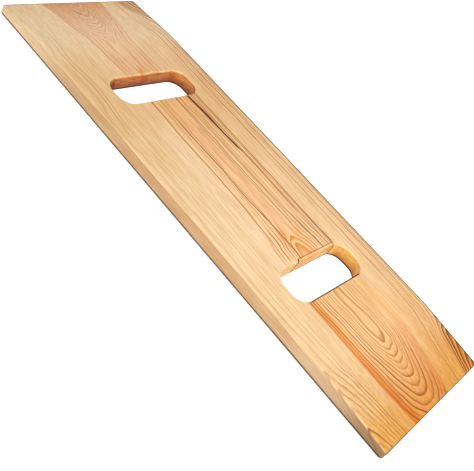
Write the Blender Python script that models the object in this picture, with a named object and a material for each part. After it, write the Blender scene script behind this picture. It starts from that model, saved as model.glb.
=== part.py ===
"""Transfer board: an edge-glued pine board with thinned ends and two hand slots.

Frame: metres, +X along the board, +Y across it, +Z up. The origin is the middle of the flat
underside, so the board lies on the plane z = 0.
"""

import math

import bmesh
import bpy

# Overall size
LENGTH = 0.6096
WIDTH = 0.1920
THICKNESS = 0.0178
END_THICKNESS = 0.0118
TAPER_LENGTH = 0.0800

# The shoulder, where a sloping end meets the flat top, is eased over this far each way
SHOULDER_EASE = 0.0120
SHOULDER_SEGMENTS = 4

# Edges and corners
EDGE_RADIUS = 0.0030
EDGE_SEGMENTS = 4
CORNER_RADIUS = 0.0040
CORNER_SEGMENTS = 6

# Hand slots, one towards each end, on the board's long centre line
LEFT_SLOT_X = -0.1435
RIGHT_SLOT_X = 0.1395
SLOT_WIDTH = 0.0400
SLOT_LENGTH = 0.1145
SLOT_CORNER_RADIUS = 0.0155
SLOT_CORNER_SEGMENTS = 8
SLOT_TOP_RADIUS = 0.0030
SLOT_TOP_SEGMENTS = 4
SLOT_BOTTOM_RADIUS = 0.0010
SLOT_BOTTOM_SEGMENTS = 2

# Glued joints: where the two long joints run, and the film that parts the staves
FRONT_JOINT_Y = -0.0505
BACK_JOINT_Y = 0.0472
GLUE_GAP = 0.0003

# A cutter runs this far past the wood, and its rounded lip meets the top face this far above it
CLEARANCE = 0.010
LIP_RISE = 0.00005

PALE_PINE = (0.72, 0.50, 0.27)
HEART_PINE = (0.68, 0.40, 0.19)
LACQUER_ROUGHNESS = 0.42
SMOOTH_BELOW = math.radians(35)


def clear_scene():
    for old in list(bpy.data.objects):
        bpy.data.objects.remove(old, do_unlink=True)


def add_object(name, mesh):
    board_part = bpy.data.objects.new(name, mesh)
    bpy.context.scene.collection.objects.link(board_part)
    return board_part


def finished_mesh(name, shape):
    """Turns a bmesh into a mesh whose rounded faces are shaded smooth."""
    mesh = bpy.data.meshes.new(name)
    shape.to_mesh(mesh)
    shape.free()
    mesh.shade_smooth()
    mesh.set_sharp_from_angle(angle=SMOOTH_BELOW)
    return mesh


def wood(name, colour):
    """A clear-lacquered timber of one colour."""
    material = bpy.data.materials.new(name)
    material.use_nodes = True
    shader = material.node_tree.nodes["Principled BSDF"]
    shader.inputs["Base Color"].default_value = (*colour, 1.0)
    shader.inputs["Roughness"].default_value = LACQUER_ROUGHNESS
    shader.inputs["Metallic"].default_value = 0.0
    return material


def shoulder_curve():
    """Points down the right shoulder: a parabola from the flat top to the sloping end."""
    slope = (THICKNESS - END_THICKNESS) / TAPER_LENGTH
    start = LENGTH / 2 - TAPER_LENGTH - SHOULDER_EASE
    points = []
    for step in range(SHOULDER_SEGMENTS + 1):
        along = 2 * SHOULDER_EASE * step / SHOULDER_SEGMENTS
        drop = slope * along**2 / (4 * SHOULDER_EASE)
        points.append((start + along, THICKNESS - drop))
    return points


def side_profile():
    """The board seen from the front: flat below, with a long slope down to each end above."""
    end = LENGTH / 2
    right = shoulder_curve()
    left = [(-x, z) for x, z in right]
    underside = [(-end, 0.0), (end, 0.0)]
    return [*underside, (end, END_THICKNESS), *reversed(right), *left, (-end, END_THICKNESS)]


def is_upright(edge):
    start, finish = (vertex.co for vertex in edge.verts)
    return abs(start.x - finish.x) < 1e-6 and abs(start.y - finish.y) < 1e-6


def runs_round_the_rim(edge):
    """True for an edge between a wall of the board and its top or underside."""
    tilts = [abs(face.normal.z) for face in edge.link_faces]
    return min(tilts) < 0.5 < max(tilts)


def blank_mesh():
    """The whole board before slotting: extruded profile, rounded corners, rounded edges."""
    shape = bmesh.new()
    front = [shape.verts.new((x, -WIDTH / 2, z)) for x, z in side_profile()]
    face = shape.faces.new(front)
    swept = bmesh.ops.extrude_face_region(shape, geom=[face])
    moved = [item for item in swept["geom"] if isinstance(item, bmesh.types.BMVert)]
    bmesh.ops.translate(shape, verts=moved, vec=(0.0, WIDTH, 0.0))
    bmesh.ops.recalc_face_normals(shape, faces=shape.faces)
    bmesh.ops.bevel(
        shape,
        geom=[edge for edge in shape.edges if is_upright(edge)],
        offset=CORNER_RADIUS,
        segments=CORNER_SEGMENTS,
        profile=0.5,
        affect="EDGES",
    )
    bmesh.ops.bevel(
        shape,
        geom=[edge for edge in shape.edges if runs_round_the_rim(edge)],
        offset=EDGE_RADIUS,
        segments=EDGE_SEGMENTS,
        profile=0.5,
        affect="EDGES",
    )
    return finished_mesh("board_blank", shape)


def slot_outline(centre_x, grow):
    """One turn round a hand slot's rounded oblong, counter-clockwise, grown outwards by grow."""
    radius = SLOT_CORNER_RADIUS + grow
    reach_x = SLOT_WIDTH / 2 - SLOT_CORNER_RADIUS
    reach_y = SLOT_LENGTH / 2 - SLOT_CORNER_RADIUS
    points = []
    for quarter, (side_x, side_y) in enumerate([(1, 1), (-1, 1), (-1, -1), (1, -1)]):
        for step in range(SLOT_CORNER_SEGMENTS + 1):
            angle = (quarter + step / SLOT_CORNER_SEGMENTS) * math.pi / 2
            x = centre_x + side_x * reach_x + radius * math.cos(angle)
            y = side_y * reach_y + radius * math.sin(angle)
            points.append((x, y))
    return points


def rounded_lip(radius, segments):
    """Outward growth and rise of each point on a quarter-round lip, from its wall to its face."""
    angles = [step / segments * math.pi / 2 for step in range(segments + 1)]
    return [(radius * (1 - math.cos(angle)), radius * math.sin(angle)) for angle in angles]


def slot_levels():
    """Height and outward growth of the slot's wall, from below the board to above it."""
    levels = [(-CLEARANCE, SLOT_BOTTOM_RADIUS)]
    for grow, rise in reversed(rounded_lip(SLOT_BOTTOM_RADIUS, SLOT_BOTTOM_SEGMENTS)):
        levels.append((SLOT_BOTTOM_RADIUS - rise - LIP_RISE, grow))
    for grow, rise in rounded_lip(SLOT_TOP_RADIUS, SLOT_TOP_SEGMENTS):
        levels.append((THICKNESS - SLOT_TOP_RADIUS + rise + LIP_RISE, grow))
    levels.append((THICKNESS + CLEARANCE, SLOT_TOP_RADIUS))
    return levels


def slot_cutter_mesh(centre_x):
    """The plug of wood that one hand slot takes away, with its rounded lips."""
    shape = bmesh.new()
    rings = []
    for height, grow in slot_levels():
        outline = slot_outline(centre_x, grow)
        rings.append([shape.verts.new((x, y, height)) for x, y in outline])
    for lower, upper in zip(rings, rings[1:]):
        for here in range(len(lower)):
            there = (here + 1) % len(lower)
            shape.faces.new((lower[here], lower[there], upper[there], upper[here]))
    shape.faces.new(list(reversed(rings[0])))
    shape.faces.new(rings[-1])
    return finished_mesh("slot_cutter", shape)


def box_mesh(name, low, high):
    shape = bmesh.new()
    bmesh.ops.create_cube(shape, size=1.0)
    for vertex in shape.verts:
        for axis in range(3):
            vertex.co[axis] = high[axis] if vertex.co[axis] > 0 else low[axis]
    return finished_mesh(name, shape)


def add_guide(name, mesh):
    """A shape that only cuts or bounds the wood and isn't part of the board."""
    guide = add_object(name, mesh)
    guide.hide_render = True
    guide.display_type = "WIRE"
    return guide


def add_boolean(target, tool, operation):
    modifier = target.modifiers.new(f"{operation.lower()}_{tool.name}", "BOOLEAN")
    modifier.operation = operation
    modifier.solver = "EXACT"
    modifier.object = tool


def add_stave(name, material, blank, x_range, y_range, slots):
    """One piece of the board: the blank within its own bounds, less the hand slots beside it."""
    stave = add_object(name, blank.copy())
    stave.data.materials.clear()
    stave.data.materials.append(material)
    low = (x_range[0], y_range[0], -CLEARANCE)
    high = (x_range[1], y_range[1], THICKNESS + CLEARANCE)
    bounds = add_guide(f"{name}_bounds", box_mesh(f"{name}_bounds", low, high))
    add_boolean(stave, bounds, "INTERSECT")
    for slot in slots:
        add_boolean(stave, slot, "DIFFERENCE")
    return stave


def build_board():
    blank = blank_mesh()
    left_slot = add_guide("left_slot_cutter", slot_cutter_mesh(LEFT_SLOT_X))
    right_slot = add_guide("right_slot_cutter", slot_cutter_mesh(RIGHT_SLOT_X))

    outside_x = LENGTH / 2 + CLEARANCE
    outside_y = WIDTH / 2 + CLEARANCE
    half_gap = GLUE_GAP / 2
    whole_length = (-outside_x, outside_x)
    front_y = (-outside_y, FRONT_JOINT_Y - half_gap)
    centre_y = (FRONT_JOINT_Y + half_gap, BACK_JOINT_Y - half_gap)
    back_y = (BACK_JOINT_Y + half_gap, outside_y)

    front_pine = wood("front_stave_pine", PALE_PINE)
    heart_pine = wood("centre_stave_pine", HEART_PINE)
    back_pine = wood("back_stave_pine", PALE_PINE)

    both_slots = (left_slot, right_slot)
    add_stave("front_side_stave", front_pine, blank, whole_length, front_y, both_slots)
    add_stave("back_side_stave", back_pine, blank, whole_length, back_y, both_slots)

    left_x = (-outside_x, LEFT_SLOT_X)
    middle_x = (LEFT_SLOT_X, RIGHT_SLOT_X)
    right_x = (RIGHT_SLOT_X, outside_x)
    add_stave("centre_stave_left_end", heart_pine, blank, left_x, centre_y, (left_slot,))
    add_stave("centre_stave_middle", heart_pine, blank, middle_x, centre_y, both_slots)
    add_stave("centre_stave_right_end", heart_pine, blank, right_x, centre_y, (right_slot,))
    bpy.data.meshes.remove(blank)


clear_scene()
build_board()
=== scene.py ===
"""Looks of the transfer board: an edge-glued, clear-lacquered pine board with two hand slots.

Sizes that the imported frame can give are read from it. Lengths are in metres, except inside the
wood shaders, where the growth rings are laid out in millimetres. The near end and slot are those
towards +X and the far ones those towards -X. The front stave is towards -Y, the back one +Y.
"""

import math

import bpy
import numpy as np
from mathutils import Matrix, Vector
from mathutils.geometry import delaunay_2d_cdt


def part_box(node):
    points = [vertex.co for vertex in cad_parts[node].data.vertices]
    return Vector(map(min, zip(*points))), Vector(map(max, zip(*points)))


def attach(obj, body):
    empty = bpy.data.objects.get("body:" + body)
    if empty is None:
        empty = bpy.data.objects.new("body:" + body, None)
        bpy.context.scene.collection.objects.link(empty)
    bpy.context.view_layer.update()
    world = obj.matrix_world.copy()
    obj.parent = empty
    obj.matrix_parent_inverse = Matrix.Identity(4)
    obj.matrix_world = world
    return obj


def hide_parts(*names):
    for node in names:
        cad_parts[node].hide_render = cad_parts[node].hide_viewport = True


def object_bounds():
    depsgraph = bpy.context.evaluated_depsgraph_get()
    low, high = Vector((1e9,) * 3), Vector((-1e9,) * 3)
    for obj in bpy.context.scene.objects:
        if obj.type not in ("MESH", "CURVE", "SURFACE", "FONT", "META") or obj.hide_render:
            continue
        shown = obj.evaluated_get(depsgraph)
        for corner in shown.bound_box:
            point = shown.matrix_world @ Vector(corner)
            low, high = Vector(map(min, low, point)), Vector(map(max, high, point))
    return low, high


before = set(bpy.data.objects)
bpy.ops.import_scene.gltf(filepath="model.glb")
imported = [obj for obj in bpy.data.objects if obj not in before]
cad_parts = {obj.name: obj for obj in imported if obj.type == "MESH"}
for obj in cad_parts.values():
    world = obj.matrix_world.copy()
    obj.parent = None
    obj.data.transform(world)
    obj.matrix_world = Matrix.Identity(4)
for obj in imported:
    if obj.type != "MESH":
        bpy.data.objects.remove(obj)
cad_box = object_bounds()

# ------------------------------------------------------------------------------------------------
# Sizes

LOW, HIGH = cad_box
LENGTH = HIGH.x - LOW.x
WIDTH = HIGH.y - LOW.y
THICKNESS = HIGH.z - LOW.z


def middle_of_gap(lower_node, upper_node, axis):
    """Where the gap between two neighbouring CAD nodes lies along one axis."""
    return (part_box(lower_node)[1][axis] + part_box(upper_node)[0][axis]) / 2


FRONT_JOINT_Y = middle_of_gap("front_side_stave", "centre_stave_middle", 1)
BACK_JOINT_Y = middle_of_gap("centre_stave_middle", "back_side_stave", 1)
LEFT_SLOT_X = middle_of_gap("centre_stave_left_end", "centre_stave_middle", 0)
RIGHT_SLOT_X = middle_of_gap("centre_stave_middle", "centre_stave_right_end", 0)

# The CAD's own driving dimensions, which its boxes don't show
END_THICKNESS = 0.0118
TAPER_LENGTH = 0.0800
SHOULDER_EASE = 0.0120
EDGE_RADIUS = 0.0030
CORNER_RADIUS = 0.0040
SLOT_WIDTH = 0.0400
SLOT_LENGTH = 0.1145
SLOT_CORNER_RADIUS = 0.0155
SLOT_TOP_RADIUS = 0.0030
SLOT_BOTTOM_RADIUS = 0.0010
TAPER_SLOPE = (THICKNESS - END_THICKNESS) / TAPER_LENGTH

# The gap between two staves, which shows as a hairline
GLUE_LINE = 0.00002

# How finely the visible surface is meshed
GRID_STEP = 0.0040
OUTLINE_STEP = 0.0040
LIP_SEGMENTS = 10
CORNER_SEGMENTS = 14
CLEAR_OF_LINES = 0.0016
SAME_POINT = 1e-7
ON_JOINT = 1e-6
SHARP_ANGLE = math.radians(38)

MILLIMETRES = 1000.0


# ------------------------------------------------------------------------------------------------
# The board's form


def oblong_distance(x, y, centre_x, half_x, half_y, radius):
    """Distance outwards from the outline of an oblong with rounded corners: negative inside."""
    past_x = np.abs(x - centre_x) - (half_x - radius)
    past_y = np.abs(y) - (half_y - radius)
    outside = np.hypot(np.maximum(past_x, 0.0), np.maximum(past_y, 0.0))
    inside = np.minimum(np.maximum(past_x, past_y), 0.0)
    return outside + inside - radius


def depth_from_edge(x, y):
    """How far into the wood a point is from the board's outer outline."""
    return -oblong_distance(x, y, 0.0, LENGTH / 2, WIDTH / 2, CORNER_RADIUS)


def depth_from_slots(x, y):
    """How far into the wood a point is from the nearer hand slot."""
    slot = (SLOT_WIDTH / 2, SLOT_LENGTH / 2, SLOT_CORNER_RADIUS)
    left = oblong_distance(x, y, LEFT_SLOT_X, *slot)
    right = oblong_distance(x, y, RIGHT_SLOT_X, *slot)
    return np.minimum(left, right)


def lip_drop(depth, radius):
    """How far a quarter-round lip lies below its face, at a depth in from its wall."""
    inwards = np.clip(radius - depth, 0.0, radius)
    return radius - np.sqrt(np.maximum(radius**2 - inwards**2, 0.0))


def top_plane(x):
    """Height of the top before its edges are rounded: flat, then eased into the sloping ends."""
    beyond = np.abs(x) - (LENGTH / 2 - TAPER_LENGTH)
    eased = (beyond + SHOULDER_EASE) ** 2 / (4 * SHOULDER_EASE)
    run = np.where(beyond < SHOULDER_EASE, eased, beyond)
    return THICKNESS - TAPER_SLOPE * np.where(beyond < -SHOULDER_EASE, 0.0, run)


def top_height(x, y):
    """Height of the top surface, with its outer edges and slot lips rounded."""
    edge = lip_drop(depth_from_edge(x, y), EDGE_RADIUS)
    slot = lip_drop(depth_from_slots(x, y), SLOT_TOP_RADIUS)
    return top_plane(x) - edge - slot


def bottom_height(x, y):
    """Height of the underside, which is flat apart from its rounded edges."""
    edge = lip_drop(depth_from_edge(x, y), EDGE_RADIUS)
    slot = lip_drop(depth_from_slots(x, y), SLOT_BOTTOM_RADIUS)
    return edge + slot


# ------------------------------------------------------------------------------------------------
# Meshing: one plan of the whole board, cut along the joints and raised into closed staves


def oblong_loop(centre_x, half_x, half_y, radius):
    """Points once round a rounded oblong, with its straight sides stepped."""
    corners = [(1, 1), (-1, 1), (-1, -1), (1, -1)]
    points = []
    for quarter, (side_x, side_y) in enumerate(corners):
        middle = np.array([centre_x + side_x * (half_x - radius), side_y * (half_y - radius)])
        for step in range(CORNER_SEGMENTS + 1):
            angle = (quarter + step / CORNER_SEGMENTS) * math.pi / 2
            points.append(middle + radius * np.array([math.cos(angle), math.sin(angle)]))
    loop = []
    for here, there in zip(points, points[1:] + points[:1]):
        steps = max(1, round(np.linalg.norm(there - here) / OUTLINE_STEP))
        loop += [here + (there - here) * step / steps for step in range(steps)]
    return loop


def lip_offsets(radius):
    """How far in from its wall each step over a rounded lip lies."""
    angles = [step / LIP_SEGMENTS * math.pi / 2 for step in range(LIP_SEGMENTS + 1)]
    return [radius * (1 - math.cos(angle)) for angle in angles]


def plan_loops():
    """The outline of the board and of each slot, repeated over their rounded lips."""
    loops = []
    for inset in lip_offsets(EDGE_RADIUS):
        radius = CORNER_RADIUS - inset
        loops.append(oblong_loop(0.0, LENGTH / 2 - inset, WIDTH / 2 - inset, radius))
    slot_offsets = lip_offsets(SLOT_TOP_RADIUS) + [SLOT_BOTTOM_RADIUS / 2]  # the lower lip's own step
    for centre_x in (LEFT_SLOT_X, RIGHT_SLOT_X):
        for grow in slot_offsets:
            half_x = SLOT_WIDTH / 2 + grow
            half_y = SLOT_LENGTH / 2 + grow
            loops.append(oblong_loop(centre_x, half_x, half_y, SLOT_CORNER_RADIUS + grow))
    return loops


def plan_grid():
    """Grid points over the flat wood, kept clear of the lips and of the joints."""
    across = np.arange(-LENGTH / 2, LENGTH / 2, GRID_STEP) + GRID_STEP / 2
    along = np.arange(-WIDTH / 2, WIDTH / 2, GRID_STEP) + GRID_STEP / 2
    x, y = (axis.ravel() for axis in np.meshgrid(across, along))
    keep = depth_from_edge(x, y) > EDGE_RADIUS + CLEAR_OF_LINES
    keep &= depth_from_slots(x, y) > SLOT_TOP_RADIUS + CLEAR_OF_LINES
    for joint_y in (FRONT_JOINT_Y, BACK_JOINT_Y):
        keep &= np.abs(y - joint_y) > CLEAR_OF_LINES
    return list(zip(x[keep], y[keep]))


def triangulate_plan():
    """Triangles over the whole board's plan, as points and corner indices."""
    points = []
    edges = []
    for loop in plan_loops():
        first = len(points)
        points += [Vector(point) for point in loop]
        count = len(loop)
        edges += [(first + step, first + (step + 1) % count) for step in range(count)]
    steps = round(LENGTH / GRID_STEP)
    for joint_y in (FRONT_JOINT_Y, BACK_JOINT_Y):
        first = len(points)
        points += [Vector((LENGTH * (step / steps - 0.5), joint_y)) for step in range(steps + 1)]
        edges += [(first + step, first + step + 1) for step in range(steps)]
    points += [Vector(point) for point in plan_grid()]
    vertices, _, faces, *_ = delaunay_2d_cdt(points, edges, [], 0, SAME_POINT)
    return np.array(vertices), np.array([face for face in faces if len(face) == 3])


def stave_mesh(name, plan, triangles):
    """A closed solid over some of the plan's triangles, between the underside and the top."""
    used, local = np.unique(triangles, return_inverse=True)
    triangles = local.reshape(-1, 3)
    x, y = plan[used].T
    top = top_height(x, y)
    bottom = bottom_height(x, y)
    middle_y = (y.min() + y.max()) / 2
    for joint_y in (FRONT_JOINT_Y, BACK_JOINT_Y):
        on_joint = np.abs(y - joint_y) < ON_JOINT
        y = np.where(on_joint, y + np.sign(middle_y - joint_y) * GLUE_LINE / 2, y)

    count = len(used)
    corners = [*zip(x, y, top), *zip(x, y, bottom)]
    faces = [tuple(face) for face in triangles]
    faces += [tuple(face[::-1] + count) for face in triangles]
    sides = []
    for face in triangles.tolist():
        sides += zip(face, face[1:] + face[:1])
    shared = set(sides)
    for start, finish in sides:
        if (finish, start) not in shared:
            faces.append((finish, start, start + count, finish + count))

    mesh = bpy.data.meshes.new(name)
    mesh.from_pydata([tuple(map(float, corner)) for corner in corners], [], faces)
    mesh.validate()
    mesh.shade_smooth()
    mesh.set_sharp_from_angle(angle=SHARP_ANGLE)
    return mesh


def add_stave(name, node, material, plan, triangles, inside):
    """One visible piece of the board, standing for one CAD node."""
    stave = bpy.data.objects.new(name, stave_mesh(name, plan, triangles[inside]))
    bpy.context.scene.collection.objects.link(stave)
    stave.data.materials.append(material)
    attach(stave, "root")
    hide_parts(node)


def build_board(front_wood, centre_wood, back_wood):
    plan, triangles = triangulate_plan()
    x, y = plan[triangles].mean(axis=1).T
    wood = (depth_from_edge(x, y) > 0.0) & (depth_from_slots(x, y) > 0.0)
    front = wood & (y < FRONT_JOINT_Y)
    back = wood & (y > BACK_JOINT_Y)
    centre = wood & ~front & ~back
    left = centre & (x < LEFT_SLOT_X)
    right = centre & (x > RIGHT_SLOT_X)
    middle = centre & ~left & ~right
    pieces = [
        ("front_stave", "front_side_stave", "front_stave_pine", front_wood, front),
        ("back_stave", "back_side_stave", "back_stave_pine", back_wood, back),
        ("centre_left", "centre_stave_left_end", "centre_stave_pine", centre_wood, left),
        ("centre_middle", "centre_stave_middle", "centre_stave_pine", centre_wood, middle),
        ("centre_right", "centre_stave_right_end", "centre_stave_pine", centre_wood, right),
    ]
    for name, node, slot, material, inside in pieces:
        add_stave(name, node, material, plan, triangles, inside)


# ------------------------------------------------------------------------------------------------
# Shader building


class Shader:
    """A material's node tree, with short ways to add the nodes that the wood needs."""

    def __init__(self, name):
        self.material = bpy.data.materials.new(name)
        self.material.use_nodes = True
        self.tree = self.material.node_tree
        self.surface = self.tree.nodes["Principled BSDF"]

    def add(self, kind, **settings):
        node = self.tree.nodes.new(kind)
        for setting, value in settings.items():
            setattr(node, setting, value)
        return node

    def feed(self, socket, value):
        """Links a socket, or sets a plain number or colour."""
        if isinstance(value, bpy.types.NodeSocket):
            self.tree.links.new(value, socket)
        else:
            socket.default_value = value

    def math(self, operation, *values):
        node = self.add("ShaderNodeMath", operation=operation)
        for socket, value in zip(node.inputs, values):
            self.feed(socket, value)
        return node.outputs[0]

    def absolute(self, value):
        return self.math("ABSOLUTE", value)

    def scaled(self, value, factor, offset):
        """The value times a factor, plus an offset."""
        return self.math("MULTIPLY_ADD", value, factor, offset)

    def ramp(self, value, start, finish, low=0.0, high=1.0):
        """A smooth step from low to high while value goes from start to finish."""
        node = self.add("ShaderNodeMapRange", interpolation_type="SMOOTHSTEP", clamp=True)
        for socket, number in zip(node.inputs, (value, start, finish, low, high)):
            self.feed(socket, number)
        return node.outputs[0]

    def profile(self, value, points):
        """A smooth curve through given (position, height) points."""
        places, heights = zip(*points)
        low_at = min(places)
        reach = max(places) - low_at
        low = min(heights)
        spread = max(heights) - low
        node = self.add("ShaderNodeFloatCurve")
        curve = node.mapping.curves[0]
        while len(curve.points) < len(points):
            curve.points.new(0.5, 0.5)
        for knot, (place, height) in zip(curve.points, sorted(points)):
            knot.location = ((place - low_at) / reach, (height - low) / spread)
            knot.handle_type = "AUTO_CLAMPED"
        node.mapping.update()
        share = self.scaled(value, 1 / reach, -low_at / reach)
        self.feed(node.inputs["Value"], self.math("MINIMUM", self.math("MAXIMUM", share, 0.0), 1.0))
        return self.scaled(node.outputs["Value"], spread, low)

    def vector(self, x, y, z):
        node = self.add("ShaderNodeCombineXYZ")
        for socket, value in zip(node.inputs, (x, y, z)):
            self.feed(socket, value)
        return node.outputs[0]

    def noise(self, place, sizes, detail=2.0, roughness=0.5, seed=0.0):
        """Noise from 0 to 1 whose features have the given sizes along x, y and z."""
        parts = [self.scaled(part, 1 / size, seed) for part, size in zip(place, sizes)]
        node = self.add("ShaderNodeTexNoise", noise_dimensions="3D", normalize=True)
        self.feed(node.inputs["Vector"], self.vector(*parts))
        self.feed(node.inputs["Scale"], 1.0)
        self.feed(node.inputs["Detail"], detail)
        self.feed(node.inputs["Roughness"], roughness)
        return node.outputs["Fac"]

    def swing(self, place, sizes, reach, **settings):
        """Noise about zero, reaching roughly plus or minus reach."""
        return self.scaled(self.noise(place, sizes, **settings), 2 * reach, -reach)

    def total(self, *values):
        result = values[0]
        for value in values[1:]:
            result = self.math("ADD", result, value)
        return result

    def product(self, *values):
        result = values[0]
        for value in values[1:]:
            result = self.math("MULTIPLY", result, value)
        return result

    def mix_value(self, share, first, second):
        """A number that goes from first to second as share goes from 0 to 1."""
        # A Mix node's sockets for numbers are its first, third and fourth
        node = self.add("ShaderNodeMix", data_type="FLOAT")
        for socket, value in zip(node.inputs[:1] + node.inputs[2:4], (share, first, second)):
            self.feed(socket, value)
        return node.outputs[0]

    def mix(self, share, first, second, blend="MIX"):
        node = self.add("ShaderNodeMix", data_type="RGBA", blend_type=blend)
        self.feed(node.inputs["Factor"], share)
        colours = [socket for socket in node.inputs if socket.type == "RGBA"]
        self.feed(colours[0], first)
        self.feed(colours[1], second)
        return next(socket for socket in node.outputs if socket.type == "RGBA")

    def stain(self, colour, mask, tone):
        """The colour with a tone multiplied into it, as far as the mask says."""
        return self.mix(mask, colour, tone, "MULTIPLY")


def srgb(red, green, blue):
    """A colour given as 0 to 255 display values, as the linear one that shaders take."""
    channels = []
    for level in (red, green, blue):
        share = level / 255
        channels.append(share / 12.92 if share <= 0.04045 else ((share + 0.055) / 1.055) ** 2.4)
    return (*channels, 1.0)


# ------------------------------------------------------------------------------------------------
# Pine: growth rings round a wandering pith, as a solid figure that the top, the tapers, the
# rounded edges and the slot walls all cut through. All in millimetres.

# The wood
SAPWOOD = srgb(246, 217, 173)
PALE_SAPWOOD = srgb(243, 217, 179)
FRONT_SAPWOOD = srgb(240, 217, 176)
HEARTWOOD = srgb(246, 208, 153)
PINK_HEART = srgb(246, 210, 172)
SALMON = srgb(244, 194, 150)
RED_HEART = srgb(230, 172, 128)
EARLYWOOD = srgb(253, 228, 182)
# Painted sheen: a paler, greyer tone for the far taper
FAR_TAPER_SHEEN = srgb(238, 216, 184)

# Lines and marks on it, with painted shade among them
LATEWOOD = srgb(158, 84, 14)
DARK_LATEWOOD = srgb(120, 58, 4)
GOLDEN_LATEWOOD = srgb(172, 108, 38)
BAND_BROWN = srgb(146, 76, 2)
PITCH = srgb(80, 36, 0)
RESIN_ORANGE = srgb(226, 142, 48)
GOLDEN = srgb(228, 146, 52)
FIBRE = srgb(190, 128, 70)
# Painted shade: the greyer tone of the upright outer faces
SIDE_SHADE_GREY = srgb(196, 174, 146)
PALE_LIP = srgb(250, 220, 158)
SINGED = srgb(118, 54, 18)
CHARRED = srgb(104, 38, 4)
# Painted shade, for the dark lines along the arrises and lips
PAINTED_SHADE = srgb(60, 34, 16)

# Tones that are multiplied into it, as the painted shade is too along the arrises
FIBRE_TONE = srgb(206, 168, 128)
PATCH_TONE = srgb(240, 216, 196)
# A warm tone, partly the wood's own and partly painted shade on the near taper
WARM_TONE_AND_SHADE = srgb(232, 197, 129)
END_GRAIN = srgb(240, 214, 188)
# Painted shade on the upright outer faces, deeper at the near tip
SIDE_SHADE = srgb(226, 216, 204)
TIP_SHADE = srgb(188, 180, 164)
# Slot wall tones; the lower ones are painted shade at the bottom of the slots
NEAR_WALL_TOP = srgb(255, 234, 160)
NEAR_WALL_LOW_SHADE = srgb(206, 166, 98)
FAR_WALL_TOP = srgb(238, 198, 146)
FAR_WALL_LOW_SHADE = srgb(166, 116, 80)
GRAZED = srgb(255, 240, 186)

# The satin lacquer
SPECULAR_LEVEL = 0.12
COAT_WEIGHT = 0.02
COAT_ROUGHNESS = 0.35
LEAST_ROUGHNESS = 0.40
CLOUD_ROUGHNESS = 0.14
FIBRE_ROUGHNESS = 0.10
BUMP_STRENGTH = 0.5
BUMP_DISTANCE = 0.0001
LINE_BUMP = 0.8

TAPER_START = MILLIMETRES * (LENGTH / 2 - TAPER_LENGTH)


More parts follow.
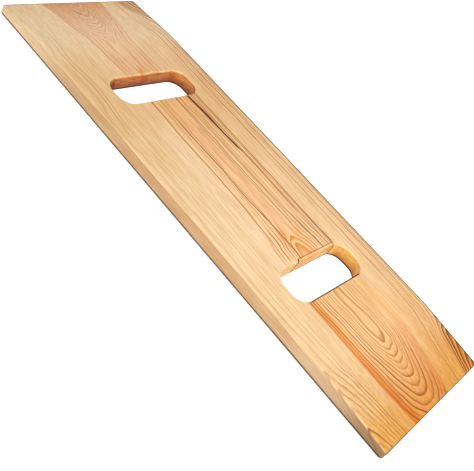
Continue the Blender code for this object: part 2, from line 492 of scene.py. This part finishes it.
class Pine(Shader):
    """Pine whose figure is worked out in the board's own frame, so it runs on round every edge."""

    def __init__(self, name, seed):
        super().__init__(name)
        self.seed = seed
        texture = self.add("ShaderNodeTexCoord")
        split = self.add("ShaderNodeSeparateXYZ")
        self.feed(split.inputs[0], texture.outputs["Object"])
        self.place = [self.scaled(part, MILLIMETRES, 0.0) for part in split.outputs]
        self.x, self.y, self.z = self.place
        facing = self.add("ShaderNodeSeparateXYZ")
        self.feed(facing.inputs[0], texture.outputs["Normal"])
        self.facing_x = self.absolute(facing.outputs[0])
        self.facing_z = facing.outputs[2]

    def along(self, points):
        """A value that changes along the board, given as (x, value) pairs."""
        return self.profile(self.x, points)

    def window(self, value, start, finish, soft):
        """One between start and finish, fading to zero over soft outside them."""
        rise = self.ramp(value, start - soft, start)
        return self.math("MULTIPLY", rise, self.ramp(value, finish + soft, finish))

    def top(self):
        """Height of the board's top at this place along it, without its eased shoulders."""
        run = self.math("SUBTRACT", self.absolute(self.x), TAPER_START)
        run = self.math("MAXIMUM", run, 0.0)
        return self.scaled(run, -TAPER_SLOPE, MILLIMETRES * THICKNESS)

    def radius(self, pith_y, pith_height, waviness, bluntness=0.0):
        """Distance from the pith, which runs at pith_height above the board's top.

        Bluntness from 0 to 1 squares off the figure's noses, where the rings turn back.
        """
        # A slow drift of the pith, and quicker ripples along the rings
        drift = self.swing(self.place, (110, 26, 26), 1.3, detail=1.5, seed=self.seed)
        ripple = self.swing(self.place, (20, 9, 9), 1.0, detail=1.0, seed=self.seed + 7.3)
        sway = self.math("MULTIPLY_ADD", ripple, waviness, drift)
        across = self.math("SUBTRACT", self.y, pith_y)
        near_axis = self.ramp(self.absolute(across), 15, 0)
        squeeze = self.math("MULTIPLY", bluntness, -1.0)
        across = self.product(across, self.math("MULTIPLY_ADD", near_axis, squeeze, 1.0))
        above = self.math("ADD", pith_height, self.math("SUBTRACT", self.top(), self.z))
        squares = self.math("MULTIPLY_ADD", across, across, self.math("MULTIPLY", above, above))
        return self.math("ADD", self.math("SQRT", squares), sway)

    def paler_starts(self, colour, turns, share):
        """Pale earlywood at the start of each ring, which sets off the dark line before it."""
        early = self.ramp(self.math("FRACT", turns), 0.45, 0.05)
        return self.mix(self.math("MULTIPLY", early, share), colour, EARLYWOOD)

    def ring_lines(self, turns, faintest, seed, start=0.50):
        """Latewood from 0 to 1: it darkens slowly through each ring, then stops short.

        Each ring has a strength of its own, from faintest to 1.
        """
        phase = self.math("FRACT", turns)
        line = self.product(self.ramp(phase, start, 0.88), self.ramp(phase, 1.0, 0.92))
        pick = self.add("ShaderNodeTexWhiteNoise", noise_dimensions="1D")
        self.feed(pick.inputs["W"], self.math("ADD", self.math("FLOOR", turns), seed))
        return self.product(line, self.scaled(pick.outputs["Value"], 1 - faintest, faintest))

    def stroke(self, colour, course, half_width, ends, tint, share, fade=14.0, soft=0.45):
        """One bold line of latewood or pitch, along a course of (x, y) points.

        It fades out beyond its ends in x, and wanders a little, each line in its own way.
        """
        wander = self.swing(self.place, (80, 400, 400), 0.5, detail=1, seed=course[0][1])
        offset = self.math("SUBTRACT", self.math("ADD", self.y, wander), self.along(course))
        beyond = self.math("SUBTRACT", self.absolute(offset), half_width)
        mask = self.product(self.ramp(beyond, soft, -soft), self.window(self.x, *ends, fade), share)
        return self.mix(mask, colour, tint)

    def grain(self, colour, fine):
        """Fine fibres, two widths of broader strands, and slow patches of colour."""
        strands = self.noise(self.place, (40, 1.0, 1.0), detail=2, seed=self.seed + 2.3)
        broad = self.noise(self.place, (60, 2.8, 2.8), detail=2, seed=self.seed + 3.1)
        patch = self.noise(self.place, (45, 20, 20), detail=2, seed=self.seed + 5.7)
        colour = self.stain(colour, self.ramp(fine, 0.38, 0.62, 0.40, 0.0), FIBRE_TONE)
        colour = self.stain(colour, self.ramp(strands, 0.42, 0.58, 0.22, 0.0), FIBRE_TONE)
        colour = self.stain(colour, self.ramp(broad, 0.36, 0.62, 0.14, 0.0), FIBRE_TONE)
        return self.stain(colour, self.ramp(patch, 0.35, 0.68, 0.0, 0.16), PATCH_TONE)

    def wall_tone(self, near_slot, cloud):
        """A slot wall's tone: golden in the near slot and ruddy in the far one, with painted shade
        that deepens downwards.
        """
        # Painted shade that deepens towards the bottom of each slot
        low = self.ramp(self.math("ADD", self.z, cloud), 14.0, 2.5)
        far_tone = self.mix(low, FAR_WALL_TOP, FAR_WALL_LOW_SHADE)
        near_tone = self.mix(low, NEAR_WALL_TOP, NEAR_WALL_LOW_SHADE)
        tone = self.mix(near_slot, far_tone, near_tone)
        long_wall = self.product(near_slot, self.ramp(self.facing_x, 0.6, 0.9), 0.85)
        return self.mix(long_wall, tone, GRAZED)

    def slot_walls(self, colour):
        """Toned slot walls with painted shade low down and singed streaks, the paler lips above them,
        and a few marks.
        """
        # These limits lie outside both slots and inside the board's own edges
        inside = self.ramp(self.absolute(self.y), 80, 72)
        inside = self.product(inside, self.ramp(self.absolute(self.x), 240, 220))
        upright = self.ramp(self.absolute(self.facing_z), 0.75, 0.25)
        wall = self.math("MULTIPLY", inside, upright)
        near_slot = self.ramp(self.x, -20, 20)
        seed = self.seed + 1.7
        cloud = self.swing(self.place, (7, 7, 16), 4.5, detail=3, roughness=0.6, seed=seed)
        colour = self.stain(colour, wall, self.wall_tone(near_slot, cloud))

        seed = self.seed + 6.1
        streak = self.noise(self.place, (15, 15, 3.0), detail=3, roughness=0.7, seed=seed)
        singed = self.product(self.ramp(streak, 0.49, 0.60), self.mix_value(near_slot, 0.5, 0.12))
        colour = self.mix(self.product(wall, singed), colour, SINGED)

        lip = self.product(
            self.ramp(self.facing_z, 0.30, 0.60), self.ramp(self.facing_z, 0.998, 0.95))
        pale = self.product(inside, lip, self.ramp(cloud, -1.5, 1.5, 0.05, 0.45))
        colour = self.mix(pale, colour, PALE_LIP)
        return self.slot_marks_and_shade(colour, inside, upright, cloud)

    def slot_marks_and_shade(self, colour, inside, upright, cloud):
        """A burn in the far slot, a crack at the near one, and painted shade on the near slot's +X lip
        and along the lower arrises.
        """
        # The burn has a ragged end, and the crack leans out of the upright
        ragged = self.math("ADD", self.y, cloud)
        burn = self.product(
            self.window(self.x, -170, -152, 4), self.ramp(ragged, -36, -42),
            self.ramp(self.z, 17, 8), 0.95)
        colour = self.mix(self.product(inside, burn, upright), colour, CHARRED)

        leaning = self.math("MULTIPLY_ADD", self.z, -0.28, self.y)
        crack = self.product(
            self.window(self.x, 117, 122, 1), self.window(leaning, -23.1, -21.3, 0.5))
        colour = self.mix(crack, colour, CHARRED)

        # Painted shade on the near slot's +X lip, where it turns away
        shaded_lip = self.product(
            self.window(self.x, 158, 161.1, 0.6), self.window(self.y, -44, 42, 3),
            self.ramp(self.facing_z, 0.05, 0.22))
        colour = self.mix(shaded_lip, colour, PAINTED_SHADE)

        # Painted shade along the lower arrises of the slot walls
        arris = self.product(inside, self.ramp(self.z, 3.0, 2.0), upright)
        return self.stain(colour, arris, PAINTED_SHADE)

    def outer_edges(self, colour):
        """Side and end faces with painted shade: duller and greyer towards the near end, deepest at
        the near tip, with browner strands.
        """
        outer = self.ramp(self.absolute(self.y), 88, 92)
        outer = self.math("MAXIMUM", outer, self.ramp(self.absolute(self.x), 296, 300))
        upright = self.ramp(self.absolute(self.facing_z), 0.80, 0.30)
        side = self.math("MULTIPLY", outer, upright)
        # Painted shade: the upright outer faces are darkened and greyed, more so towards the near end
        dulled = self.along([(-305, 0.1), (-230, 0.3), (-120, 1.0), (305, 1.0)])
        colour = self.stain(colour, self.product(side, dulled), SIDE_SHADE)
        greyness = self.along([(-305, 0.0), (-100, 0.05), (150, 0.1), (235, 0.4), (305, 0.45)])
        colour = self.mix(self.product(side, greyness), colour, SIDE_SHADE_GREY)

        strands = self.noise(self.place, (40, 1.6, 1.6), detail=2, seed=self.seed + 8.3)
        strands = self.product(self.ramp(strands, 0.44, 0.60, 0.0, 0.4), dulled)
        colour = self.mix(self.product(side, strands), colour, FIBRE)

        # Painted shade on the front face towards the near tip
        tip = self.along([
            (-305, 0.0), (200, 0.0), (225, 0.05), (262, 0.5), (300, 1.0), (305, 1.0),
        ])
        shade = self.product(side, tip, self.ramp(self.y, 0, -80))
        colour = self.stain(colour, shade, TIP_SHADE)
        return self.painted_shade_lines(colour, outer)

    def painted_shade_lines(self, colour, outer):
        """Thin lines of painted shade: along the lower arris, and on the lips of the back edge and the
        ends.
        """
        # Painted shade along the lower outer arris
        low = self.product(
            outer, self.ramp(self.z, 4.0, 2.8), self.ramp(self.facing_z, -0.98, -0.80))
        colour = self.stain(colour, low, PAINTED_SHADE)
        # Painted shade on the lips of the back edge and both ends
        back = self.ramp(self.y, 91.4, 92.6)
        far_end = self.ramp(self.x, -301.2, -302.3)
        near_end = self.ramp(self.x, 303.2, 304.0)
        rim = self.math("MAXIMUM", self.math("MAXIMUM", back, far_end), near_end)
        rim = self.product(rim, self.ramp(self.facing_z, 0.35, 0.65), 0.75)
        return self.stain(colour, rim, PAINTED_SHADE)

    def finish(self, colour, lines, warmth_and_shade):
        """Grain, a painted sheen, a warm tone that is partly painted shade, and end grain over the
        figure, then slot walls, edges and lacquer.
        """
        fine = self.noise(self.place, (26, 0.5, 0.5), detail=3, roughness=0.6, seed=self.seed)
        colour = self.grain(colour, fine)
        # Painted sheen: the wood is made paler and greyer between the far end and the far slot
        far_sheen = self.along([
            (-305, 0.0), (-285, 0.1), (-265, 0.15), (-235, 0.17), (-205, 0.05), (-190, 0.0),
        ])
        colour = self.mix(far_sheen, colour, FAR_TAPER_SHEEN)

        # A warm tone, partly the wood's own and partly painted shade that deepens the near taper; the
        # front face takes little of it
        front_face = self.ramp(self.y, -94.0, -95.9)
        warmth_and_shade = self.math("MULTIPLY", warmth_and_shade, self.scaled(front_face, -0.8, 1.0))
        colour = self.stain(colour, warmth_and_shade, WARM_TONE_AND_SHADE)

        # Faces across the grain are darker, except in the near slot
        from_near_slot = self.math("SUBTRACT", self.x, MILLIMETRES * RIGHT_SLOT_X)
        away = self.ramp(self.absolute(from_near_slot), 30, 40)
        cross_cut = self.product(self.ramp(self.facing_x, 0.45, 0.95), away)
        colour = self.stain(colour, cross_cut, END_GRAIN)

        colour = self.outer_edges(self.slot_walls(colour))
        self.feed(self.surface.inputs["Base Color"], colour)
        self.lacquer(fine, lines)
        return self.material

    def lacquer(self, fine, lines):
        """A clear satin surface, rougher in clouds and along the fibres, with raised lines."""
        cloud = self.noise(self.place, (60, 22, 22), detail=3, seed=self.seed + 11.9)
        smooth = self.math("MULTIPLY_ADD", cloud, CLOUD_ROUGHNESS, LEAST_ROUGHNESS)
        rough = self.math("MULTIPLY_ADD", fine, FIBRE_ROUGHNESS, smooth)
        self.feed(self.surface.inputs["Roughness"], rough)
        self.surface.inputs["Specular IOR Level"].default_value = SPECULAR_LEVEL
        self.surface.inputs["Coat Weight"].default_value = COAT_WEIGHT
        self.surface.inputs["Coat Roughness"].default_value = COAT_ROUGHNESS

        bump = self.add("ShaderNodeBump")
        self.feed(bump.inputs["Strength"], BUMP_STRENGTH)
        self.feed(bump.inputs["Distance"], BUMP_DISTANCE)
        self.feed(bump.inputs["Height"], self.math("MULTIPLY_ADD", lines, LINE_BUMP, fine))
        self.feed(self.surface.inputs["Normal"], bump.outputs["Normal"])


# ------------------------------------------------------------------------------------------------
# The centre stave

# Stretches along it, as x in millimetres
BETWEEN_SLOTS = (-135, 122)
NEAR_BLOCK = (150, 310)


def centre_figure(pine):
    """Its rings: an arched figure at each end, with straight grain between them."""
    pith_y = pine.along([
        (-305, -3), (-225, -2), (-165, 2), (-100, 4), (0, 4), (88, 1), (118, 0.5),
        (166, -4), (198, -1), (229, -1), (262, -2), (305, -6),
    ])
    pith_height = pine.along([
        (-305, 26.5), (-286, 30), (-268, 32.5), (-255, 35.2), (-240, 38.4), (-225, 40.7),
        (-165, 41.4), (0, 40.5), (60, 40.4), (88, 39.7), (101, 38.1), (118, 36.9),
        (140, 34.9), (166, 34.4), (190, 34.3), (208, 34.0), (224, 34.5), (238, 36.5),
        (256, 39.7), (273, 42.9), (288, 46.1), (302, 50.9),
    ])
    waviness = pine.along([
        (-305, 1.2), (-225, 1.0), (-205, 0.6), (100, 0.5), (200, 0.3), (305, 0.4),
    ])
    bluntness = pine.along([
        (-305, 0.3), (-230, 0.2), (-200, 0.0), (205, 0.0), (230, 0.4), (260, 0.55), (305, 0.5),
    ])
    radius = pine.radius(pith_y, pith_height, waviness, bluntness)
    turns = pine.profile(radius, [
        (20, -3.3), (25.3, 0), (35, 6.06), (44.5, 12), (52, 14.5), (59.5, 17), (80, 23.8),
    ])
    return radius, turns


def depth_in_heartwood(pine, radius, between_slots):
    """How far inside the heartwood a place is: negative in the sapwood along the front joint."""
    heart_radius = pine.along([
        (-305, 50), (-225, 50), (0, 50.2), (60, 50.2), (90, 51.5), (118, 54), (163, 57),
        (230, 56), (270, 57), (305, 61),
    ])
    inside = pine.math("SUBTRACT", heart_radius, radius)
    back_side = pine.ramp(pine.y, 8, 20)
    return pine.math("MULTIPLY_ADD", pine.product(back_side, between_slots), 12.0, inside)


def centre_ground(pine, inside, between_slots):
    """Heartwood, pinker or redder by places, pale sapwood beside it, and a strip of resin."""
    heart = pine.ramp(inside, -0.5, 0.6)
    near_block = pine.ramp(pine.x, 150, 220)
    warm_wedge = pine.product(near_block, pine.ramp(pine.y, 10, 30), 0.7)
    colour = pine.mix(heart, pine.mix(warm_wedge, PALE_SAPWOOD, HEARTWOOD), HEARTWOOD)
    pink = pine.along([
        (-305, 1.0), (-190, 1.0), (-160, 0.5), (-120, 0.15), (0, 0.15), (100, 0.35), (165, 0.0),
        (235, 0.0), (280, 0.3), (305, 0.4),
    ])
    colour = pine.mix(pine.math("MULTIPLY", heart, pink), colour, PINK_HEART)
    red = pine.along([
        (-305, 1.0), (-285, 0.8), (-260, 0.4), (-235, 0.1), (-210, 0.0), (190, 0.0), (235, 0.25),
        (305, 0.5),
    ])
    redder_backwards = pine.ramp(pine.y, 0, 26, 0.8, 1.7)
    red = pine.product(red, pine.mix_value(near_block, 1.0, redder_backwards))
    colour = pine.mix(pine.math("MULTIPLY", heart, red), colour, RED_HEART)
    salmon = pine.product(pine.window(pine.y, -8, 8, 4), pine.window(pine.x, -110, 70, 30), 0.42)
    colour = pine.mix(salmon, colour, SALMON)

    # The resin, with a darker line along its front, in the near block only
    strip = [(120, -46), (165, -44.5), (215, -45), (250, -43.5), (275, -41), (305, -36.5)]
    colour = pine.stroke(colour, strip, 5.2, NEAR_BLOCK, RESIN_ORANGE, 0.85, soft=0.9)
    strip_edge = [(120, -49), (165, -47.5), (215, -48), (250, -46), (275, -43), (305, -38)]
    colour = pine.stroke(colour, strip_edge, 0.8, NEAR_BLOCK, LATEWOOD, 0.35, soft=0.8)
    light_band = pine.product(pine.window(pine.y, -28, -13, 3), between_slots, 0.35)
    return pine.mix(light_band, colour, EARLYWOOD)


def centre_strength(pine, inside, arch_place):
    """How strongly the ring lines show in each part of the stave."""
    strength = pine.along([
        (-305, 0.66), (-260, 0.56), (-225, 0.42), (-150, 0.3), (-120, 0.75), (60, 0.85),
        (85, 1.0), (113, 0.95), (117, 0.25), (130, 0.3), (165, 0.76), (240, 0.78), (305, 0.7),
    ])
    calm = pine.total(
        pine.product(pine.window(pine.y, -30, -13, 3), 0.65),
        pine.product(pine.window(pine.y, -6, 7, 5), 0.6),
        pine.product(pine.window(pine.y, 26, 60, 3), 0.5))
    calm = pine.product(calm, pine.window(pine.x, -120, 70, 15))
    quiet_corner = pine.product(pine.ramp(pine.y, 22, 30), pine.ramp(pine.x, 140, 170))
    for mask, loss in ((calm, 1.0), (arch_place, 0.7), (quiet_corner, 0.85)):
        strength = pine.product(strength, pine.scaled(mask, -loss, 1.0))
    return pine.product(strength, pine.ramp(inside, -2.0, 0.5, 0.10, 1.0))


def centre_lines(pine, colour, inside, turns, lines):
    """The ring lines, with a golden arch by the near slot and a golden flame by the far one."""
    arch_place = pine.product(pine.window(pine.x, 84, 122, 6), pine.window(pine.y, -12, 16, 4))
    strength = centre_strength(pine, inside, arch_place)
    colour = pine.paler_starts(colour, turns, pine.math("MULTIPLY", strength, 0.55))
    colour = pine.mix(pine.product(lines, strength), colour, LATEWOOD)
    arch = pine.product(arch_place, pine.ring_lines(turns, 0.8, 3.0, start=0.2))
    colour = pine.mix(arch, colour, GOLDEN)

    # A line along the near slot's lip, and bolder lines at the front of the near block
    lip_line = pine.product(pine.window(pine.x, 115.9, 116.8, 0.5), pine.window(pine.y, -16, 45, 2))
    colour = pine.mix(pine.math("MULTIPLY", lip_line, 0.6), colour, LATEWOOD)
    low_side = pine.product(
        pine.window(pine.y, -34, -20, 4), pine.ramp(pine.x, 150, 190), lines, 0.5)
    colour = pine.mix(low_side, colour, DARK_LATEWOOD)
    # The heartwood's border towards the front joint
    border = pine.product(
        pine.window(inside, 0.0, 0.5, 0.6), pine.ramp(pine.y, -5, -15), pine.ramp(pine.x, 110, 60),
        pine.along([(-305, 0.3), (-150, 0.2), (-120, 0.65), (305, 0.65)]))
    colour = pine.mix(border, colour, LATEWOOD)

    # The flame opens from its tip towards the far slot
    tip_x, tip_y, spread = -181, 1.0, 0.28
    behind_tip = pine.scaled(pine.x, -spread, spread * tip_x)
    off_axis = pine.absolute(pine.math("SUBTRACT", pine.y, tip_y))
    flame = pine.ramp(pine.math("ADD", behind_tip, off_axis), 0.8, -0.8)
    flame = pine.product(flame, pine.window(pine.x, tip_x, -163, 2), 0.55)
    return pine.mix(flame, colour, GOLDEN)


def centre_strokes(pine, colour):
    """The boldest lines between the slots, drawn one by one, with a streak of pitch among them."""
    strokes = [
        ([(-125, 46.6), (0, 46.2), (120, 45.4)], 0.7, BETWEEN_SLOTS, DARK_LATEWOOD, 0.8),
        ([(-125, 43.9), (0, 44.0), (120, 43.2)], 0.45, BETWEEN_SLOTS, LATEWOOD, 0.75),
        ([(-125, 39.6), (-15, 39.5), (120, 39.0)], 0.55, BETWEEN_SLOTS, LATEWOOD, 0.85),
        (
            [(-125, 32), (-105, 33.5), (-90, 34.9), (-60, 35.4), (-40, 36), (-15, 38)],
            2.2, (-130, -80), LATEWOOD, 0.75, 14.0, 0.9,
        ),
        (
            [(-125, 33.5), (-90, 35.1), (-60, 35.6), (-40, 36.2), (-15, 38.2), (20, 37.8), (70, 37.2)],
            1.25, (-120, -36), PITCH, 1.0,
        ),
        ([(-60, 37.4), (-15, 38.2), (20, 37.7), (70, 37.2)], 0.5, (-40, 60), DARK_LATEWOOD, 0.8),
        (
            [(-125, 22.8), (0, 22.5), (50, 22.8), (75, 26.5), (120, 28)],
            0.5, (-90, 122), DARK_LATEWOOD, 0.7,
        ),
        ([(-125, 14.8), (-80, 11.8), (40, 12), (80, 12.6)], 0.5, (-135, 30), LATEWOOD, 0.8),
        (
            [(-100, -7), (-73, -11.6), (-21, -10.9), (30, -12.4), (85, -10.8), (120, -12.6)],
            0.75, (-72, 114), LATEWOOD, 0.95, 26.0,
        ),
        ([(-125, -16), (0, -15.4), (85, -18.3), (120, -20)], 0.4, BETWEEN_SLOTS, LATEWOOD, 0.6),
    ]
    for stroke in strokes:
        colour = pine.stroke(colour, *stroke)
    return colour


def centre_pine():
    """Flat-sawn heartwood with an arched figure, and pale sapwood along the front joint."""
    pine = Pine("centre_stave_pine", 4.0)
    radius, turns = centre_figure(pine)
    lines = pine.ring_lines(turns, 0.35, 3.0)
    between_slots = pine.window(pine.x, *BETWEEN_SLOTS, 10)
    inside = depth_in_heartwood(pine, radius, between_slots)
    colour = centre_ground(pine, inside, between_slots)
    colour = centre_lines(pine, colour, inside, turns, lines)
    colour = centre_strokes(pine, colour)
    # The warm tone along the stave; towards the near end it is painted shade
    warmth_and_shade = pine.along([
        (-305, 0.15), (-270, 0.0), (-215, 0.1), (-175, 0.28), (-110, 0.34), (-70, 0.16),
        (-30, 0.05), (10, 0.0), (90, 0.0), (160, 0.12), (185, 0.22), (210, 0.12), (235, 0.3),
        (265, 0.6), (290, 0.9), (305, 1.0),
    ])
    return pine.finish(colour, lines, warmth_and_shade)


# ------------------------------------------------------------------------------------------------
# The side staves


def back_pine():
    """Sapwood with dense lines at the outer edge, opening to bold bands at both corners."""
    pine = Pine("back_stave_pine", 21.0)
    pith_height = pine.along([
        (-305, 6), (-295, 10), (-280, 22), (-260, 32), (-225, 36), (-150, 37), (150, 37),
        (225, 36.5), (244, 34.5), (260, 29), (274, 25.6), (286, 20.7), (296, 15.2), (305, 8),
    ])
    waviness = pine.along([(-305, 0.9), (-200, 0.5), (200, 0.4), (305, 0.7)])
    radius = pine.radius(100.5, pith_height, waviness)
    turns = pine.profile(radius, [(0, 0), (18.8, 3.4), (27.9, 5.2), (36.2, 8.0), (46, 12), (70, 22)])
    lines = pine.ring_lines(turns, 0.45, 8.0)
    colour = pine.mix(pine.ramp(radius, 38, 28, 0.0, 0.8), SAPWOOD, HEARTWOOD)
    bold = pine.profile(radius, [
        (0, 0.9), (33, 0.9), (37, 0.7), (42, 0.55), (47, 0.38), (51, 0.18), (70, 0.12),
    ])
    near_end = pine.ramp(pine.x, 235, 275, 1.0, 0.2)
    outside_bands = pine.ramp(radius, 33, 37)
    bold = pine.product(bold, pine.mix_value(outside_bands, 1.0, near_end))
    colour = pine.paler_starts(colour, turns, pine.math("MULTIPLY", bold, 0.6))
    colour = pine.mix(pine.product(lines, bold), colour, LATEWOOD)
    bands = pine.product(pine.ramp(radius, 37, 32), pine.ring_lines(turns, 0.85, 8.0, start=0.0))
    colour = pine.mix(pine.product(bands, 0.95), colour, BAND_BROWN)

    # One long bold line, and three fainter ones that keep beside it
    long_course = [
        (-305, 58), (-265, 63), (-240, 70), (-220, 73.5), (-100, 73.8), (100, 72.5), (200, 71.5),
        (235, 66), (265, 58), (305, 51),
    ]
    colour = pine.stroke(colour, long_course, 0.55, (-290, 300), LATEWOOD, 0.65)
    for rise, share in ((9.0, 0.4), (13.5, 0.3), (-6.0, 0.22)):
        course = [(x, y + rise * (0.55 if abs(x) > 240 else 1.0)) for x, y in long_course]
        colour = pine.stroke(colour, course, 0.5, (-250, 275), LATEWOOD, share)

    # The warm tone along the stave; towards the near end it is painted shade
    warmth_and_shade = pine.along([
        (-305, 0.1), (-270, 0.0), (-240, 0.0), (-210, 0.1), (-175, 0.22), (-110, 0.4), (-70, 0.28),
        (-30, 0.25), (10, 0.12), (90, 0.12), (180, 0.2), (205, 0.34), (235, 0.5), (265, 0.8),
        (290, 1.0), (305, 1.1),
    ])
    return pine.finish(colour, lines, warmth_and_shade)


def front_pine():
    """Pale sapwood with faint golden lines, which ripple at the near corner."""
    pine = Pine("front_stave_pine", 37.0)
    pith_height = pine.along([
        (-305, 30), (-240, 36), (-150, 39), (-60, 40), (150, 40), (215, 38), (240, 33),
        (262, 28), (285, 22), (305, 14),
    ])
    pith_y = pine.along([
        (-305, -113), (-230, -103), (-190, -110), (-137, -106), (-100, -112), (-50, -109),
        (0, -107), (100, -109), (200, -109), (305, -108),
    ])
    waviness = pine.along([(-305, 0.8), (180, 0.6), (230, 1.3), (305, 1.6)])
    radius = pine.radius(pith_y, pith_height, waviness)
    turns = pine.profile(radius, [(0, 0), (20, 3.2), (32, 5.8), (40, 7.8), (50, 10.4), (80, 22)])
    lines = pine.ring_lines(turns, 0.3, 15.0)
    bold = pine.profile(radius, [
        (0, 0.4), (20, 0.45), (32, 0.8), (40, 0.7), (46, 0.5), (52, 0.22), (80, 0.15),
    ])
    bold = pine.product(bold, pine.along([
        (-305, 0.12), (-240, 0.2), (-190, 0.5), (-140, 0.85), (305, 1.0),
    ]))
    ripples = pine.product(
        pine.ramp(pine.x, 190, 250), pine.ramp(radius, 58, 50), pine.ramp(radius, 16, 30, 0.4, 0.95))
    bold = pine.math("MAXIMUM", bold, ripples)
    colour = pine.paler_starts(FRONT_SAPWOOD, turns, pine.math("MULTIPLY", bold, 0.6))
    tint = pine.mix(pine.ramp(pine.x, 60, 200), GOLDEN_LATEWOOD, LATEWOOD)
    colour = pine.mix(pine.product(lines, bold), colour, tint)

    # Two lines that rise and fall in front of the far slot
    hump = [(-255, -86), (-235, -81), (-200, -83), (-160, -78.5), (-120, -81), (-75, -86)]
    for rise in (0.0, 4.5):
        course = [(x, y + rise) for x, y in hump]
        colour = pine.stroke(colour, course, 0.6, (-235, -100), GOLDEN_LATEWOOD, 0.42, fade=30)

    # The warm tone along the stave; towards the near end it is painted shade
    warmth_and_shade = pine.along([
        (-305, 0.1), (-270, 0.05), (-240, 0.0), (-210, 0.12), (-175, 0.33), (-110, 0.4),
        (-70, 0.25), (-30, 0.18), (10, 0.07), (90, 0.06), (180, 0.15), (205, 0.18), (235, 0.35),
        (265, 0.6), (290, 0.95), (305, 1.0),
    ])
    return pine.finish(colour, lines, warmth_and_shade)


# ------------------------------------------------------------------------------------------------
# Floor, light and camera

WHITE = (1.0, 1.0, 1.0, 1.0)

FLOOR_REACH = 14.0
FLOOR_SIDES = 96
FLOOR_GAP = 0.0002
FLOOR_COLOUR = (0.92, 0.92, 0.92, 1.0)
FLOOR_ROUGHNESS = 0.9
FLOOR_GLOW = 0.62

WORLD_LIGHT = 0.48
WORLD_AS_SEEN = 1.0
KEY_PLACE = Vector((0.45, -0.30, 1.0))
KEY_TARGET = Vector((0.10, 0.0, 0.0))
KEY_SIZE = 0.8
KEY_POWER = 12.0

# The board runs from the upper left of the view to the lower right, with its near end lowest
AIM = Vector((0.06672, -0.06292, THICKNESS))
CAMERA_DISTANCE = 0.67341
CAMERA_AZIMUTH = math.radians(22.28)
CAMERA_ELEVATION = math.radians(38.891)
CAMERA_ROLL = math.radians(34.360)
LENS = 52.85


def floor_material():
    """A matt, near-white floor that glows a little, so that it stays white to its rim."""
    material = bpy.data.materials.new("pale_floor")
    material.use_nodes = True
    surface = material.node_tree.nodes["Principled BSDF"]
    surface.inputs["Base Color"].default_value = FLOOR_COLOUR
    surface.inputs["Roughness"].default_value = FLOOR_ROUGHNESS
    surface.inputs["Specular IOR Level"].default_value = 0.0
    surface.inputs["Emission Color"].default_value = FLOOR_COLOUR
    surface.inputs["Emission Strength"].default_value = FLOOR_GLOW
    return material


def add_floor():
    """A wide round floor just under the board."""
    turns = [math.tau * step / FLOOR_SIDES for step in range(FLOOR_SIDES)]
    rim = [(FLOOR_REACH * math.cos(turn), FLOOR_REACH * math.sin(turn), 0.0) for turn in turns]
    mesh = bpy.data.meshes.new("floor")
    mesh.from_pydata(rim, [], [tuple(range(FLOOR_SIDES))])
    mesh.materials.append(floor_material())
    floor = bpy.data.objects.new("floor", mesh)
    floor.location.z = LOW.z - FLOOR_GAP
    bpy.context.scene.collection.objects.link(floor)


def add_key_light():
    """A large square softbox above the near end."""
    light = bpy.data.lights.new("key", "AREA")
    light.size = KEY_SIZE
    light.energy = KEY_POWER
    lamp = bpy.data.objects.new("key", light)
    lamp.location = KEY_PLACE
    lamp.rotation_euler = (KEY_TARGET - KEY_PLACE).to_track_quat("-Z", "Y").to_euler()
    bpy.context.scene.collection.objects.link(lamp)


def add_surroundings():
    """A white world, seen at full strength but lighting the board more dimly.

    Seen at its lighting strength, it would leave a grey horizon in low views.
    """
    world = bpy.data.worlds.new("studio")
    world.use_nodes = True
    nodes, links = world.node_tree.nodes, world.node_tree.links
    lighting = nodes["Background"]
    seen = nodes.new("ShaderNodeBackground")
    for background, strength in ((lighting, WORLD_LIGHT), (seen, WORLD_AS_SEEN)):
        background.inputs["Color"].default_value = WHITE
        background.inputs["Strength"].default_value = strength
    paths = nodes.new("ShaderNodeLightPath")
    choose = nodes.new("ShaderNodeMixShader")
    links.new(paths.outputs["Is Camera Ray"], choose.inputs[0])
    links.new(lighting.outputs[0], choose.inputs[1])
    links.new(seen.outputs[0], choose.inputs[2])
    links.new(choose.outputs[0], nodes["World Output"].inputs["Surface"])
    bpy.context.scene.world = world
    bpy.context.scene.view_settings.view_transform = "Standard"


def add_camera():
    """A camera that looks down at the aim from the front and the near end, rolled to one side."""
    level = math.cos(CAMERA_ELEVATION)
    forward = Vector((
        -math.sin(CAMERA_AZIMUTH) * level,
        math.cos(CAMERA_AZIMUTH) * level,
        -math.sin(CAMERA_ELEVATION),
    ))
    right = forward.cross(Vector((0, 0, 1))).normalized()
    up = right.cross(forward)
    turned_right = right * math.cos(CAMERA_ROLL) + up * math.sin(CAMERA_ROLL)
    turned_up = turned_right.cross(forward)
    camera = bpy.data.objects.new("camera", bpy.data.cameras.new("camera"))
    camera.data.lens = LENS
    axes = Matrix((turned_right, turned_up, -forward)).transposed()
    camera.matrix_world = Matrix.Translation(AIM - forward * CAMERA_DISTANCE) @ axes.to_4x4()
    bpy.context.scene.collection.objects.link(camera)
    bpy.context.scene.camera = camera


# ------------------------------------------------------------------------------------------------
# The scene

build_board(front_pine(), centre_pine(), back_pine())
add_floor()
add_surroundings()
add_key_light()
add_camera()
